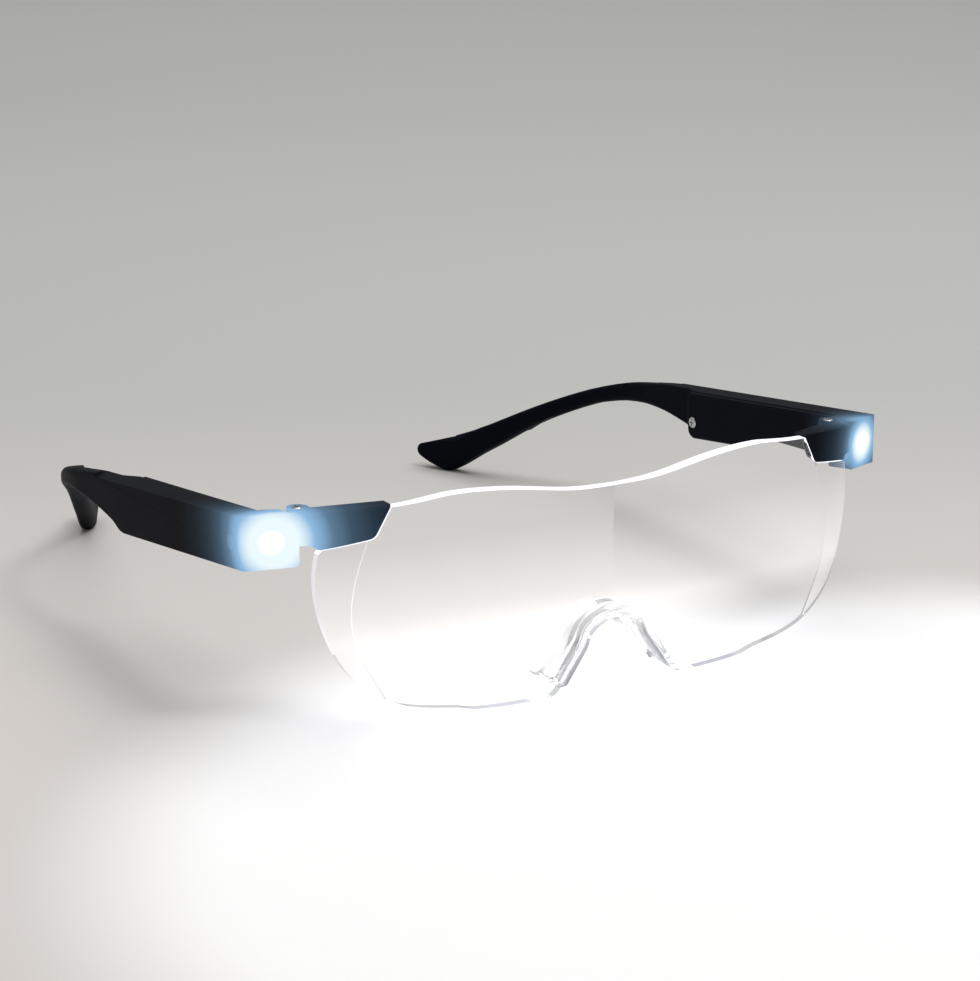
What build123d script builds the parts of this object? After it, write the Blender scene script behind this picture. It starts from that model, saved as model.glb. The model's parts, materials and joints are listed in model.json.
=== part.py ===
from build123d import *
import os
from math import asin, atan, atan2, cos, degrees, hypot, radians, sin, sqrt, tan

# Lighted magnifier glasses: a clear one-piece lens, two black temples with a lamp in front of each,
# and the parts inside them. X runs to the wearer's left, Y from the lens back to the ears, Z up.
# The origin is on the table under the middle of the glasses. Lengths are in millimetres.
# Depths are measured back from the front of the lens, heights up from the table.

# Whole object
overall_width = 160.0
overall_length = 173.0
cut_overrun = 3.0
along_share = 0.9

# Lens
lens_inset = 13.0
lens_width = overall_width - 2 * lens_inset
lens_height = 47.9
lens_front_radius = 320.0
lens_wrap_radius = 54.0
lens_wrap_sweep = 24.0
wing_thickness = 1.6
optical_thickness = 4.2
optical_back_radius = 320.0
eye_spacing = 54.0
eye_height = 23.4
top_end_direction = (1, -0.02)
side_start_direction = (0.3, -1)
notch_corner_radius = 2.2
wing_corner_radius = 1.4
nose_corner_radius = 3.5

# Nose cut and saddle
nose_cut_width = 30.4
nose_cut_height = 16.4
saddle_length = 11.5
saddle_lip = 0.7
saddle_flange = 1.5
saddle_flange_thickness = 1.0
saddle_web = 0.9
saddle_foot_height = 2.2

# End pieces and hinges
end_recess = 0.3
end_inner_thickness = 3.9
end_fit = 0.1
end_drop = 0.7
end_top_height = lens_height - end_drop
end_top_slope = 4.3
end_chamfer = 0.5
knuckle_lift = 1.1
tongue_setback = 1.0
tongue_thickness = 1.3
tongue_height = 3.6
tongue_reach = 7.5
knuckle_radius = 2.1
hinge_gap = 0.1
hinge_setback = 7.3
tongue_knuckle_height = 2.4
hinge_screw_radius = 0.7
hinge_screw_fit = 0.05
hinge_head_radius = 1.25
hinge_head_height = 0.7
hinge_head_stand_out = 0.1
head_fit = 0.05
lens_screw_radius = 0.5
lens_screw_head_radius = 0.9
lens_screw_head_height = 0.5
lens_screw_inset = 1.8
lens_screw_seat = 1.2

# Temples
head_width = 10.5
head_height = 11.1
head_face_angle = 24.0
head_drop = 1.6
head_top_height = lens_height - head_drop
head_corner_radius = 1.6
top_drop_angle = 6.9
bottom_drop_angle = 7.6
temple_thickness = 7.5
wall = 1.4
cover_thickness = 1.5
cover_gap = 0.1
cover_inset = 0.25
cover_chamfer = 0.45
cover_corner_radius = 2.4
bay_length = 63.5
cover_length = 58.0
lower_edge_length = 68.0
upper_edge_length = 83.0
blend_length = 5.0

# Ear hooks
hook_thickness = 4.0
bend_start = 91.3
bend_radius = 62.0
bend_angle = 27.0
tip_setback = 7.2
tip_radius = 3.7
tip_end_radius = 2.0
tip_end_height = 5.0
tip_lower_angle = 30.0
tip_upper_angle = 22.0

# Lamps
dome_radius = 2.4
dome_fit = 0.05
dome_stand_out = 1.2
dome_flange_width = 0.5
dome_flange_thickness = 0.6
dome_hollow_radius = 1.8
dome_hollow_depth = 0.9
led_chip_size = 2.4
led_chip_thickness = 0.6
led_board_thickness = 0.8
led_board_fit = 0.2
lamp_bay_setback = 5.4
lamp_bay_wall = 1.7

# Power buttons and switches
button_setback = 10.3
button_radius = 1.6
button_fit = 0.08
button_gap = 0.05
button_stand_out = 0.35
button_flange_width = 0.5
button_flange_thickness = 0.45
button_edge_radius = 0.25
plunger_radius = 0.6
plunger_length = 1.2
plunger_fit = 0.08
plunger_bore_floor = 0.2
switch_size = 3.6
switch_thickness = 1.2
switch_gap = 0.8

# Boards, sockets and cells
board_length = 18.0
board_height = 7.6
board_thickness = 0.8
board_gap = 1.5
board_post_radius = 0.6
board_post_inset = 1.0
chip_setback = 9.0
chip_length = 4.0
chip_height = 3.2
chip_thickness = 0.8
socket_length = 7.4
socket_thickness = 2.4
socket_depth = 5.0
socket_wall = 0.3
socket_fit = 0.1
socket_recess = 0.3
socket_setback = 12.0
socket_tongue_thickness = 0.6
socket_tongue_inset = 0.9
battery_length = 30.0
battery_height = 7.6
battery_thickness = 3.8
battery_edge_radius = 0.8
battery_gap = 3.0
lead_radius = 0.35
lead_spacing = 3.6

# Cover screws and catches
cover_screw_inset = 2.2
cover_screw_rise = 4.4
cover_screw_radius = 0.6
cover_screw_length = 4.5
cover_screw_head_radius = 1.4
cover_screw_head_height = 0.6
cover_screw_stand_out = 0.15
cross_width = 0.4
cross_depth = 0.35
cross_reach_share = 1.4
head_chamfer_share = 0.33
catch_thickness = 0.8
catch_reach = 1.2
catch_root = 2.0
catch_height = 4.5

# Outline points as shares of the half width and height of the lens
top_edge_shares = [(0.0, 0.937), (0.158, 0.943), (0.319, 0.976), (0.478, 0.998), (0.567, 1.0)]
notch_top_share = (0.774, 0.976)
notch_floor_inner_share = (0.825, 0.842)
notch_floor_outer_share = (0.988, 0.803)
side_edge_shares = [
    (1.0, 0.604),
    (0.967, 0.394),
    (0.909, 0.238),
    (0.834, 0.143),
    (0.746, 0.078),
    (0.56, 0.028),
    (0.31, 0.0),
]
ridge_shares = [
    (0.746, -0.042),
    (0.858, 0.289),
    (0.884, 0.394),
    (0.891, 0.508),
    (0.873, 0.675),
    (0.836, 0.835),
    (0.791, 1.034),
]
# The nose cut as shares of its own half width and height
nose_side_share = (0.553, 0.60)
nose_round_shares = [(0.447, 0.815), (0.25, 0.948), (0.0, 1.0)]
# Rear rim of the saddle as shares of the nose cut's half width and height
rim_inner_shares = [(0.0, 0.89), (0.224, 0.817), (0.408, 0.634), (0.605, 0.372), (0.796, 0.207), (0.974, 0.134)]
rim_outer_shares = [(0.0, 1.06), (0.276, 1.006), (0.539, 0.829), (0.763, 0.6), (0.96, 0.39), (1.1, 0.25)]
throat_inner_shares = [(0.0, 0.93), (0.21, 0.885), (0.37, 0.77), (0.47, 0.58), (0.63, 0.34), (0.79, 0.14)]
throat_outer_shares = [(0.0, 1.08), (0.3, 1.02), (0.54, 0.86), (0.66, 0.63), (0.82, 0.39), (0.97, 0.19)]
# Lower edge behind the compartment: shares of the run to the rear end and of the height where it starts
hook_bottom_shares = [
    (0.041, 1.037),
    (0.093, 1.075),
    (0.157, 1.102),
    (0.226, 1.11),
    (0.3, 1.098),
    (0.36, 1.072),
    (0.417, 1.03),
    (0.47, 0.975),
    (0.538, 0.87),
    (0.616, 0.727),
    (0.693, 0.555),
    (0.773, 0.348),
    (0.829, 0.21),
]
# Upper edge of the hook: shares of its run and of the height where it starts
hook_top_shares = [
    (0.087, 0.968),
    (0.233, 0.907),
    (0.384, 0.808),
    (0.526, 0.673),
    (0.673, 0.505),
    (0.82, 0.335),
]

# Places that follow from the sizes
front_y = -overall_length / 2
half_lens = lens_width / 2
half_nose = nose_cut_width / 2
outer_x = overall_width / 2
head_inner_x = outer_x - head_width
inner_x = outer_x - temple_thickness
cover_seam_x = inner_x + cover_thickness
outer_wall_x = outer_x - wall
head_x = outer_x - head_width / 2
eye_sweep = degrees(asin(notch_top_share[0] * half_lens / lens_front_radius))
wrap_x = notch_top_share[0] * half_lens - lens_wrap_radius * sin(radians(eye_sweep))
wrap_depth = lens_front_radius - (lens_front_radius - lens_wrap_radius) * cos(radians(eye_sweep))


def front_depth(x, setback=0):
    """Depth of the front's curve, moved back by a setback, at a distance from the middle."""
    if x <= notch_top_share[0] * half_lens:
        radius = lens_front_radius - setback
        return lens_front_radius - sqrt(radius**2 - x**2)
    radius = lens_wrap_radius - setback
    return wrap_depth - sqrt(radius**2 - (x - wrap_x) ** 2)


hinge_x = head_inner_x - hinge_gap - knuckle_radius
hinge_depth = front_depth(hinge_x) + hinge_setback
head_front = front_depth(head_inner_x) + end_recess
head_outer_front = head_front + head_width * tan(radians(head_face_angle))
lamp_front = head_front + head_width / 2 * tan(radians(head_face_angle))
lamp_bay_front = head_front + lamp_bay_setback
bay_rear = head_front + bay_length
cover_front = hinge_depth + knuckle_radius + temple_thickness / 2
cover_rear = cover_front + cover_length
lower_edge_end = head_front + lower_edge_length
upper_edge_end = head_front + upper_edge_length
bend_depth = head_front + bend_start
temple_slope = (top_drop_angle + bottom_drop_angle) / 2


def top_height(depth):
    """Height of the temple's straight upper edge."""
    return head_top_height - (depth - head_front) * tan(radians(top_drop_angle))


def bottom_height(depth):
    """Height of the temple's straight lower edge."""
    return head_top_height - head_height - (depth - head_front) * tan(radians(bottom_drop_angle))


def middle_height(depth):
    """Height halfway between the temple's straight edges."""
    return (top_height(depth) + bottom_height(depth)) / 2


def half_height(depth):
    """Half of the temple's height, square to its slope."""
    return (top_height(depth) - bottom_height(depth)) / 2 * cos(radians(temple_slope))


def plan_plane(height=0):
    """Seen from above: local X to the side, local Y back from the lens's front."""
    return Plane(origin=(0, front_y, height), x_dir=(1, 0, 0), z_dir=(0, 0, 1))


def front_plane(depth=0):
    """Seen from the front: local X to the side, local Y up. It faces forwards."""
    return Plane(origin=(0, front_y + depth, 0), x_dir=(1, 0, 0), z_dir=(0, -1, 0))


def side_plane(x=0):
    """Seen from the side: local X back from the lens's front, local Y up. It faces outwards."""
    return Plane(origin=(x, front_y, 0), x_dir=(0, 1, 0), z_dir=(1, 0, 0))


def bay_plane(x, depth):
    """Along the temple's slope: local X back, local Y up, centred between its edges. It faces outwards."""
    slope = radians(temple_slope)
    middle = (x, front_y + depth, middle_height(depth))
    return Plane(origin=middle, x_dir=(0, cos(slope), -sin(slope)), z_dir=(1, 0, 0))


def scaled(shares, width, height):
    """Points from a table of shares."""
    return [(x * width, y * height) for x, y in shares]


def write(piece, name):
    """Name a finished piece and write it to its own file."""
    piece.part.label = name
    export_step(piece.part, f"parts/{name}.step")


def write_pair(piece, name):
    """Write the wearer's left piece, and its mirror image for the right."""
    with BuildPart() as other:
        mirror(piece.part, about=Plane.YZ)
    write(piece, f"left_{name}")
    write(other, f"right_{name}")


os.makedirs("parts", exist_ok=True)

# Lens: its outline, seen from the front


def lens_outline():
    """Half of the lens seen from the front, on the wearer's left."""
    top = scaled(top_edge_shares, half_lens, lens_height)
    notch_top = (notch_top_share[0] * half_lens, notch_top_share[1] * lens_height)
    floor_inner = (notch_floor_inner_share[0] * half_lens, notch_floor_inner_share[1] * lens_height)
    floor_outer = (notch_floor_outer_share[0] * half_lens, notch_floor_outer_share[1] * lens_height)
    side = scaled(side_edge_shares, half_lens, lens_height)
    nose_side = (nose_side_share[0] * half_nose, nose_side_share[1] * nose_cut_height)
    nose_round = scaled(nose_round_shares, half_nose, nose_cut_height)
    nose_foot = (half_nose, side[-1][1])
    with BuildSketch(front_plane()) as outline:
        with BuildLine():
            Spline(*top, notch_top, tangents=[(1, 0), top_end_direction])
            Polyline(notch_top, floor_inner, floor_outer)
            Spline(floor_outer, *side, tangents=[side_start_direction, (-1, 0)])
            Polyline(side[-1], nose_foot, nose_side)
            Spline(nose_side, *nose_round, tangents=[(nose_side[0] - nose_foot[0], nose_side[1]), (-1, 0)])
            Line(nose_round[-1], top[0])
        make_face()
        corners = [
            (floor_inner, notch_corner_radius),
            (floor_outer, wing_corner_radius),
            (nose_foot, nose_corner_radius),
        ]
        for corner, radius in corners:
            fillet(outline.vertices().sort_by_distance(Vector(*corner))[0], radius)
    return outline


def front_band(near, far):
    """Seen from above: a band that follows the lens's front between two setbacks, on the left."""
    with BuildSketch(plan_plane()) as band:
        with BuildLine():
            near_eye = JernArc((0, near), (1, 0), lens_front_radius - near, eye_sweep)
            near_wrap = JernArc(near_eye @ 1, near_eye % 1, lens_wrap_radius - near, lens_wrap_sweep)
            far_eye = JernArc((0, far), (1, 0), lens_front_radius - far, eye_sweep)
            far_wrap = JernArc(far_eye @ 1, far_eye % 1, lens_wrap_radius - far, lens_wrap_sweep)
            Line(near_eye @ 0, far_eye @ 0)
            Line(near_wrap @ 1, far_wrap @ 1)
        make_face()
    return band


outline = lens_outline()

with BuildPart() as wing:
    add(front_band(0, wing_thickness).sketch)
    extrude(amount=lens_height)
    extrude(outline.sketch, amount=-lens_width, mode=Mode.INTERSECT)

# The optical zone is thickest at the eye's centre, where its back is parallel to its front
eye_x = eye_spacing / 2
eye_tilt = asin(eye_x / lens_front_radius)
back_reach = optical_back_radius - optical_thickness
back_centre = Vector(
    eye_x + back_reach * sin(eye_tilt),
    front_y + front_depth(eye_x) - back_reach * cos(eye_tilt),
    eye_height,
)

with BuildPart() as eye:
    add(front_band(0, optical_thickness + wing_thickness).sketch)
    extrude(amount=lens_height)
    extrude(outline.sketch, amount=-lens_width, mode=Mode.INTERSECT)
    with BuildSketch(front_plane()):
        with BuildLine():
            ridge = scaled(ridge_shares, half_lens, lens_height)
            Spline(*ridge)
            Polyline(ridge[-1], (0, ridge[-1][1]), (0, ridge[0][1]), ridge[0])
        make_face()
    extrude(amount=-lens_width, mode=Mode.INTERSECT)
    with BuildSketch(Plane(origin=back_centre, x_dir=(0, 0, 1), z_dir=(cos(eye_tilt), sin(eye_tilt), 0))):
        Circle(optical_back_radius)
    extrude(amount=lens_width, both=True, mode=Mode.INTERSECT)

# A tongue on each notch's edge runs into the black end piece
tongue_x = notch_top_share[0] * half_lens
tongue_z = (notch_top_share[1] + notch_floor_inner_share[1]) / 2 * lens_height


def tongue(fit):
    """The lens's tongue, grown by a fit for the slot that takes it."""
    with BuildPart() as piece:
        add(front_band(tongue_setback - fit, tongue_setback + tongue_thickness + fit).sketch)
        extrude(amount=lens_height)
        with BuildSketch(front_plane()):
            with Locations((tongue_x, tongue_z)):
                Rectangle(
                    tongue_reach + fit,
                    tongue_height + 2 * fit,
                    align=(Align.MIN, Align.CENTER),
                )
        extrude(amount=-lens_width, mode=Mode.INTERSECT)
    return piece


lens_screw_x = tongue_x + tongue_reach - lens_screw_inset

with BuildPart() as lens_half:
    add(wing.part)
    add(eye.part)
    add(tongue(0).part)
    with BuildSketch(front_plane()):
        with Locations((lens_screw_x, tongue_z)):
            Circle(lens_screw_radius)
    extrude(amount=-lens_width, mode=Mode.SUBTRACT)

with BuildPart() as lens:
    add(lens_half.part)
    mirror(lens_half.part, about=Plane.YZ)
write(lens, "lens")

# Nose piece: a saddle that grips the nose cut's edge


def arch(depth, inner_shares, outer_shares):
    """Closed arch at a depth, between two tables of shares that run from the middle outwards."""
    inner = scaled(inner_shares, half_nose, nose_cut_height)
    outer = scaled(outer_shares, half_nose, nose_cut_height)
    with BuildSketch(front_plane(depth)) as section:
        with BuildLine():
            Spline(*inner)
            Spline(*outer)
            Line(inner[-1], outer[-1])
            mirror(about=Plane.YZ)
        make_face()
    return section


cut_region_top = nose_cut_height + nose_cut_width


def cut_region(growth):
    """The nose cut seen from the front, drawn larger by a growth."""
    width = half_nose + growth
    height = nose_cut_height + growth
    nose_side = (nose_side_share[0] * width, nose_side_share[1] * height)
    with BuildSketch(front_plane(-saddle_lip)) as region:
        with BuildLine():
            Line((width, 0), nose_side)
            Spline(
                nose_side,
                *scaled(nose_round_shares, width, height),
                tangents=[(nose_side[0] - width, nose_side[1]), (-1, 0)],
            )
            Line((width, 0), (0, 0))
            mirror(about=Plane.YZ)
        make_face()
    return region


def cut_band(outward):
    """The nose cut's edge, grown outwards to the lip's or flange's width and opened by the web."""
    with BuildSketch(front_plane(-saddle_lip)) as band:
        add(cut_region(outward).sketch)
        add(cut_region(-saddle_web).sketch, mode=Mode.SUBTRACT)
        with Locations((0, saddle_foot_height)):
            Rectangle(
                lens_width,
                cut_region_top,
                align=(Align.CENTER, Align.MIN),
                mode=Mode.INTERSECT,
            )
    return band


grip_rear = optical_thickness + saddle_flange_thickness
throat = arch(grip_rear, throat_inner_shares, throat_outer_shares)
rim = arch(saddle_length, rim_inner_shares, rim_outer_shares)

with BuildPart() as nose_piece:
    extrude(cut_band(saddle_flange).sketch, amount=-(saddle_lip + grip_rear))
    add(lens.part, mode=Mode.SUBTRACT)
    loft([throat.sketch.face(), rim.sketch.face()])
write(nose_piece, "nose_piece")

# End piece: fills the notch, takes the lens's tongue and carries the outer knuckles of the hinge
end_outer_x = head_inner_x - hinge_gap
notch_x = notch_top_share[0] * half_lens
floor_inner = (notch_floor_inner_share[0] * half_lens, notch_floor_inner_share[1] * lens_height)
floor_outer = (notch_floor_outer_share[0] * half_lens, notch_floor_outer_share[1] * lens_height)
notch_lean = (notch_x - floor_inner[0]) / (notch_top_share[1] * lens_height - floor_inner[1])


def end_top(x):
    """Height of the end piece's sloping top."""
    return end_top_height - (x - notch_x) * tan(radians(end_top_slope))


knuckle_bottom = floor_outer[1] + knuckle_lift
knuckle_top = end_top(hinge_x) - hinge_head_height
knuckle_low = (knuckle_bottom + knuckle_top - tongue_knuckle_height) / 2
rear_inner = (notch_x, front_depth(notch_x) + end_inner_thickness)
lens_screw_seat_depth = front_depth(lens_screw_x) + tongue_setback + tongue_thickness + lens_screw_seat
wrap_turn = degrees(asin((end_outer_x - wrap_x) / (lens_wrap_radius - end_recess))) - eye_sweep


def knuckle_room():
    """Seen from above: the room that the temple's knuckle and its arm need as they turn."""
    reach = knuckle_radius + hinge_gap
    with BuildSketch(plan_plane(knuckle_low - hinge_gap)) as room:
        with Locations((hinge_x, hinge_depth)):
            Circle(reach)
            Rectangle(knuckle_radius + cut_overrun, reach, align=(Align.MIN, Align.MAX))
        with Locations((hinge_x - reach, hinge_depth)):
            Rectangle(2 * reach + cut_overrun, reach + cut_overrun, align=(Align.MIN, Align.MIN))
    return room


with BuildSketch(front_plane()) as notch_fill:
    with BuildLine():
        Polyline(
            (floor_inner[0] + (lens_height + end_recess - floor_inner[1]) * notch_lean, lens_height + end_recess),
            floor_inner,
            floor_outer,
            (hinge_x, knuckle_bottom - end_fit),
            (outer_x, knuckle_bottom - end_fit),
            (outer_x, lens_height + end_recess),
            close=True,
        )
    make_face()
    fillet(notch_fill.vertices().sort_by_distance(Vector(*floor_inner))[0], notch_corner_radius)
    offset(amount=-end_fit)
    with BuildLine():
        Polyline((0, end_top(0)), (outer_x, end_top(outer_x)), (outer_x, 0), (0, 0), close=True)
    make_face(mode=Mode.INTERSECT)

with BuildPart() as end_piece:
    with BuildSketch(plan_plane()):
        with BuildLine():
            eye_front = JernArc((0, end_recess), (1, 0), lens_front_radius - end_recess, eye_sweep)
            wrap_front = JernArc(eye_front @ 1, eye_front % 1, lens_wrap_radius - end_recess, wrap_turn)
            Polyline(
                wrap_front @ 1,
                (end_outer_x, hinge_depth),
                (hinge_x - knuckle_radius, hinge_depth),
                (hinge_x - knuckle_radius, hinge_depth - knuckle_radius),
                rear_inner,
                (0, rear_inner[1]),
                (0, end_recess),
            )
        make_face()
    extrude(amount=lens_height)
    extrude(notch_fill.sketch, amount=-lens_width, mode=Mode.INTERSECT)
    top_face = end_piece.faces().filter_by(lambda face: face.normal_at().Z > along_share)[0]
    chamfer(top_face.edges().filter_by(GeomType.LINE, reverse=True).sort_by(Axis.Y)[:1], end_chamfer)
    with BuildSketch(plan_plane(knuckle_bottom)):
        with Locations((hinge_x, hinge_depth)):
            Circle(knuckle_radius)
    extrude(amount=end_top(hinge_x) - knuckle_bottom)
    extrude(knuckle_room().sketch, amount=tongue_knuckle_height + 2 * hinge_gap, mode=Mode.SUBTRACT)
    with BuildSketch(plan_plane()):
        with Locations((hinge_x, hinge_depth)):
            Circle(hinge_screw_radius)
    extrude(amount=lens_height, mode=Mode.SUBTRACT)
    with BuildSketch(plan_plane(knuckle_top)):
        with Locations((hinge_x, hinge_depth)):
            Circle(hinge_head_radius + head_fit)
    extrude(amount=lens_height, mode=Mode.SUBTRACT)
    add(tongue(end_fit / 2).part, mode=Mode.SUBTRACT)
    with BuildSketch(front_plane(front_depth(lens_screw_x) + tongue_setback)):
        with Locations((lens_screw_x, tongue_z)):
            Circle(lens_screw_radius)
    extrude(amount=-lens_width, mode=Mode.SUBTRACT)
    with BuildSketch(front_plane(lens_screw_seat_depth)):
        with Locations((lens_screw_x, tongue_z)):
            Circle(lens_screw_head_radius + head_fit)
    extrude(amount=-lens_width, mode=Mode.SUBTRACT)
write_pair(end_piece, "end_piece")


def slotted_head(plane, radius, height):
    """Round screw head with a cross cut in its outer face, standing up from a plane."""
    with BuildPart() as head:
        with BuildSketch(plane):
            Circle(radius)
        extrude(amount=height)
        chamfer(head.faces().sort_by(Axis(plane.origin, plane.z_dir))[-1].edges(), head_chamfer_share * height)
        with BuildSketch(plane.offset(height - cross_depth)):
            Rectangle(cross_reach_share * radius, cross_width)
            Rectangle(cross_width, cross_reach_share * radius)
        extrude(amount=height, mode=Mode.SUBTRACT)
    return head


# Hinge screws, one down each hinge, and the screws that hold the end pieces on the lens's tongues
with BuildPart() as hinge_screw:
    with BuildSketch(plan_plane(knuckle_bottom)):
        with Locations((hinge_x, hinge_depth)):
            Circle(hinge_screw_radius)
    extrude(amount=knuckle_top - knuckle_bottom)
    hinge_head_plane = Plane(origin=(hinge_x, front_y + hinge_depth, knuckle_top), z_dir=(0, 0, 1))
    add(slotted_head(hinge_head_plane, hinge_head_radius, hinge_head_height + hinge_head_stand_out).part)

with BuildPart() as hinge_screws:
    add(hinge_screw.part)
    mirror(hinge_screw.part, about=Plane.YZ)
write(hinge_screws, "hinge_screws")

with BuildPart() as lens_screw:
    with BuildSketch(front_plane(front_depth(lens_screw_x) + tongue_setback)):
        with Locations((lens_screw_x, tongue_z)):
            Circle(lens_screw_radius)
    extrude(amount=front_depth(lens_screw_x) + tongue_setback - lens_screw_seat_depth)
    lens_head_plane = Plane(
        origin=(lens_screw_x, front_y + lens_screw_seat_depth, tongue_z),
        x_dir=(1, 0, 0),
        z_dir=(0, 1, 0),
    )
    add(slotted_head(lens_head_plane, lens_screw_head_radius, lens_screw_head_height).part)

with BuildPart() as lens_screws:
    add(lens_screw.part)
    mirror(lens_screw.part, about=Plane.YZ)
write(lens_screws, "lens_screws")

# Temple: seen from above and from the side
back_turn = (0, 1)


def temple_plan():
    """Seen from above: the shell's outline, with its inner face where the cover seats."""
    tip_run = overall_length - bend_depth
    hook_inner_x = outer_x - hook_thickness
    cover_end = cover_rear + cover_gap
    block_rear = cover_front - cover_gap
    with BuildSketch(plan_plane()) as plan:
        with BuildLine():
            outer_line = Line((outer_x, head_outer_front), (outer_x, bend_depth))
            outer_bend = JernArc(outer_line @ 1, back_turn, bend_radius, bend_angle)
            outer_end = PolarLine(outer_bend @ 1, tip_run, direction=outer_bend % 1)
            inner_bend = JernArc((hook_inner_x, bend_depth), back_turn, bend_radius - hook_thickness, bend_angle)
            inner_end = PolarLine(inner_bend @ 1, tip_run, direction=inner_bend % 1)
            Line(outer_end @ 1, inner_end @ 1)
            Polyline(
                inner_bend @ 0,
                (hook_inner_x, cover_end + blend_length),
                (cover_seam_x, cover_end),
                (cover_seam_x, block_rear),
                (inner_x, block_rear),
                (head_inner_x, block_rear - (inner_x - head_inner_x)),
                (head_inner_x, head_front),
                outer_line @ 0,
            )
        make_face()
    return plan


def temple_side(x=0):
    """Seen from the side: the whole temple's outline."""
    base = bottom_height(lower_edge_end)
    start = top_height(upper_edge_end)
    run = overall_length - lower_edge_end
    rise = overall_length - upper_edge_end
    tip = Vector(overall_length - tip_setback, tip_radius)
    end = Vector(overall_length - tip_end_radius, tip_end_height)
    lower = radians(tip_lower_angle)
    upper = radians(tip_upper_angle)
    cut = atan2(end.Y - tip.Y, end.X - tip.X) + asin((tip_radius - tip_end_radius) / (end - tip).length)
    tip_in = tip + Vector(-sin(lower), -cos(lower)) * tip_radius
    tip_out = tip + Vector(sin(cut), -cos(cut)) * tip_radius
    end_in = end + Vector(sin(cut), -cos(cut)) * tip_end_radius
    end_out = end + Vector(sin(upper), cos(upper)) * tip_end_radius
    bottom_points = [(lower_edge_end + x * run, z * base) for x, z in hook_bottom_shares]
    top_points = [(upper_edge_end + x * rise, z * start) for x, z in hook_top_shares]
    bottom_slope = (1, -tan(radians(bottom_drop_angle)))
    top_slope = (1, -tan(radians(top_drop_angle)))
    with BuildSketch(side_plane(x)) as side:
        with BuildLine():
            front_top = (head_front, top_height(head_front))
            front_bottom = (head_front, bottom_height(head_front))
            Line(front_bottom, (lower_edge_end, base))
            Spline(
                (lower_edge_end, base),
                *bottom_points,
                tip_in,
                tangents=[bottom_slope, (cos(lower), -sin(lower))],
            )
            ThreePointArc(tip_in, tip + Vector(0, -tip_radius), tip_out)
            Line(tip_out, end_in)
            ThreePointArc(end_in, end + Vector(tip_end_radius, 0), end_out)
            Spline(
                end_out,
                *reversed(top_points),
                (upper_edge_end, start),
                tangents=[(-cos(upper), sin(upper)), (-top_slope[0], -top_slope[1])],
            )
            Line((upper_edge_end, start), front_top)
            Line(front_top, front_bottom)
        make_face()
    return side


# The hollow inside the temple: a lamp bay in the head and a long bay behind it
with BuildPart() as bay:
    with BuildSketch(plan_plane()):
        with BuildLine():
            lamp_bay_x = head_inner_x + lamp_bay_wall
            bay_mouth = cover_front - cover_gap
            Polyline(
                (lamp_bay_x, lamp_bay_front),
                (outer_wall_x, lamp_bay_front),
                (outer_wall_x, bay_rear),
                (cover_seam_x, bay_rear),
                (cover_seam_x, bay_mouth),
                (lamp_bay_x, bay_mouth - (cover_seam_x - lamp_bay_x)),
                close=True,
            )
        make_face()
    extrude(amount=lens_height)
    with BuildSketch(side_plane()):
        with BuildLine():
            Polyline(
                (lamp_bay_front, bottom_height(lamp_bay_front) + wall),
                (bay_rear, bottom_height(bay_rear) + wall),
                (bay_rear, top_height(bay_rear) - wall),
                (lamp_bay_front, top_height(lamp_bay_front) - wall),
                close=True,
            )
        make_face()
    extrude(amount=overall_width, mode=Mode.INTERSECT)

# Places inside the temple
button_depth = head_front + button_setback
led_board_front = lamp_bay_front + dome_flange_thickness
board_front = led_board_front + led_board_thickness + board_gap
board_rear = board_front + board_length
button_inner_x = outer_wall_x - button_gap - button_flange_thickness
switch_top_x = button_inner_x - switch_gap
board_outer_x = switch_top_x - switch_thickness
board_inner_x = board_outer_x - board_thickness
lamp_height = middle_height(lamp_front)
socket_place = board_front + socket_setback
cover_screw_depth = cover_rear - cover_screw_inset
cover_screw_height = bottom_height(lower_edge_end) + cover_screw_rise
cover_screw_plane = Plane(
    origin=(inner_x, front_y + cover_screw_depth, cover_screw_height),
    x_dir=(0, 1, 0),
    z_dir=(-1, 0, 0),
)
cover_head_sink = cover_screw_head_height - cover_screw_stand_out
post_places = [
    (board_post_inset, board_height / 2 - board_post_inset),
    (board_post_inset, board_post_inset - board_height / 2),
    (board_length - board_post_inset, board_height / 2 - board_post_inset),
]

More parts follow.
